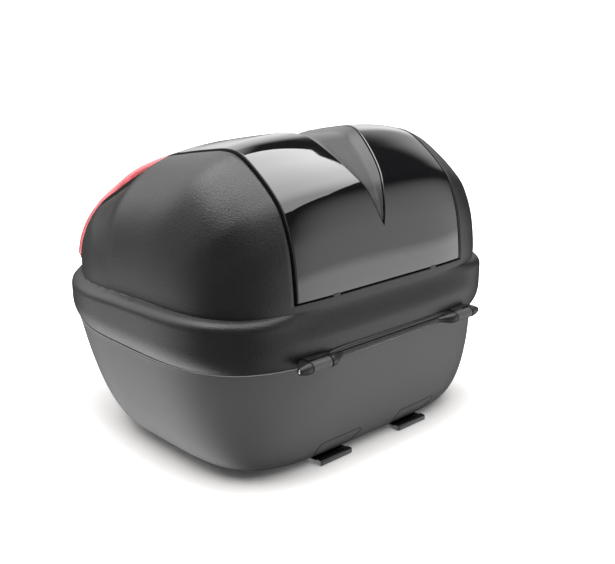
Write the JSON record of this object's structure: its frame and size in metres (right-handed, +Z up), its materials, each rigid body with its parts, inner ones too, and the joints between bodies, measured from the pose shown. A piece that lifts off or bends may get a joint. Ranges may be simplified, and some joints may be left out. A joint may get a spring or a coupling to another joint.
{
  "type": "motorcycle top case",
  "caption": "Motorcycle top case: moulded base on hook feet, lid on a pinned hinge with a gloss cover and V recess, red rear lenses, latch lever, key lock and release button.",
  "frame": {"origin": "middle of the footprint, on the surface that the feet stand on", "axes": "+X across the motorcycle, +Y to the hinge side (towards the rider), -Y to the latch and lens side, +Z up"},
  "size_m": [0.4078, 0.3964, 0.3097],
  "materials": {
    "base_plastic": "fine pebble grain, charcoal",
    "lid_plastic": "fine pebble grain, dark charcoal",
    "gloss_cover": "high gloss black",
    "vee_plastic": "matte fine grain",
    "trim_plastic": "satin black",
    "inner_plastic": "matte moulded",
    "foot_plastic": "satin black moulded",
    "lever_plastic": "satin black",
    "button_plastic": "satin red",
    "red_lens": "clear red moulded lens",
    "reflector_prism": "prismatic reflector",
    "seal_rubber": "soft black rubber",
    "zinc_steel": "zinc plated",
    "pin_steel": "bright drawn steel",
    "lock_chrome": "satin chrome"
  },
  "bodies": {
    "base": {"base_shell": "base_plastic", "seal_gasket": "seal_rubber", "hook_foot_left": "foot_plastic", "hook_foot_right": "foot_plastic", "foot_screws": "zinc_steel", "rear_pads": "seal_rubber", "hinge_pins": "pin_steel", "lock_housing": "trim_plastic", "lever_pin": "pin_steel", "hook_pin": "pin_steel", "hook_springs": "pin_steel", "mechanism_cover": "inner_plastic", "cover_screws": "zinc_steel"},
    "lid": {"lid_shell": "lid_plastic", "cover_panel": "gloss_cover", "vee_insert": "vee_plastic", "lens_left": "red_lens", "lens_right": "red_lens", "reflector_left": "reflector_prism", "reflector_right": "reflector_prism", "rear_garnish": "trim_plastic", "keeper_plate": "zinc_steel", "keeper_screws": "zinc_steel", "panel_screws": "zinc_steel"},
    "lever": {"latch_lever": "lever_plastic"},
    "hook": {"latch_hook": "zinc_steel"},
    "lock": {"lock_cylinder": "lock_chrome"},
    "button": {"release_button": "button_plastic"},
    "catch": {"plate_hook": "zinc_steel", "release_link": "zinc_steel"}
  },
  "joints": [
    {"name": "lid_hinge", "type": "hinge", "parent": "base", "child": "lid", "pos_m": [0, 0.1927, 0.1194], "axis": [-1, 0, 0], "range_deg": [0, 95]},
    {"name": "lever_pivot", "type": "hinge", "parent": "base", "child": "lever", "pos_m": [0, -0.187, 0.077], "axis": [1, 0, 0], "range_deg": [0, 60], "stiffness_Nm_per_rad": 0.3, "springref_deg": -11.46},
    {"name": "hook_pivot", "type": "hinge", "parent": "base", "child": "hook", "pos_m": [0, -0.161, 0.09], "axis": [1, 0, 0], "range_deg": [-18, 0]},
    {"name": "lock_turn", "type": "hinge", "parent": "base", "child": "lock", "pos_m": [-0.022, -0.18, 0.06], "axis": [0, -1, 0], "range_deg": [0, 90]},
    {"name": "button_press", "type": "slide", "parent": "base", "child": "button", "axis": [0, 1, 0], "range_m": [0, 0.004], "stiffness_N_per_m": 600, "springref_m": -0.002},
    {"name": "catch_slide", "type": "slide", "parent": "base", "child": "catch", "axis": [0, 1, 0], "range_m": [0, 0.004]}
  ],
  "couplings": [
    {"joint": "hook_pivot", "follows": "lever_pivot", "ratio": -0.3},
    {"joint": "catch_slide", "follows": "button_press", "ratio": 1}
  ]
}
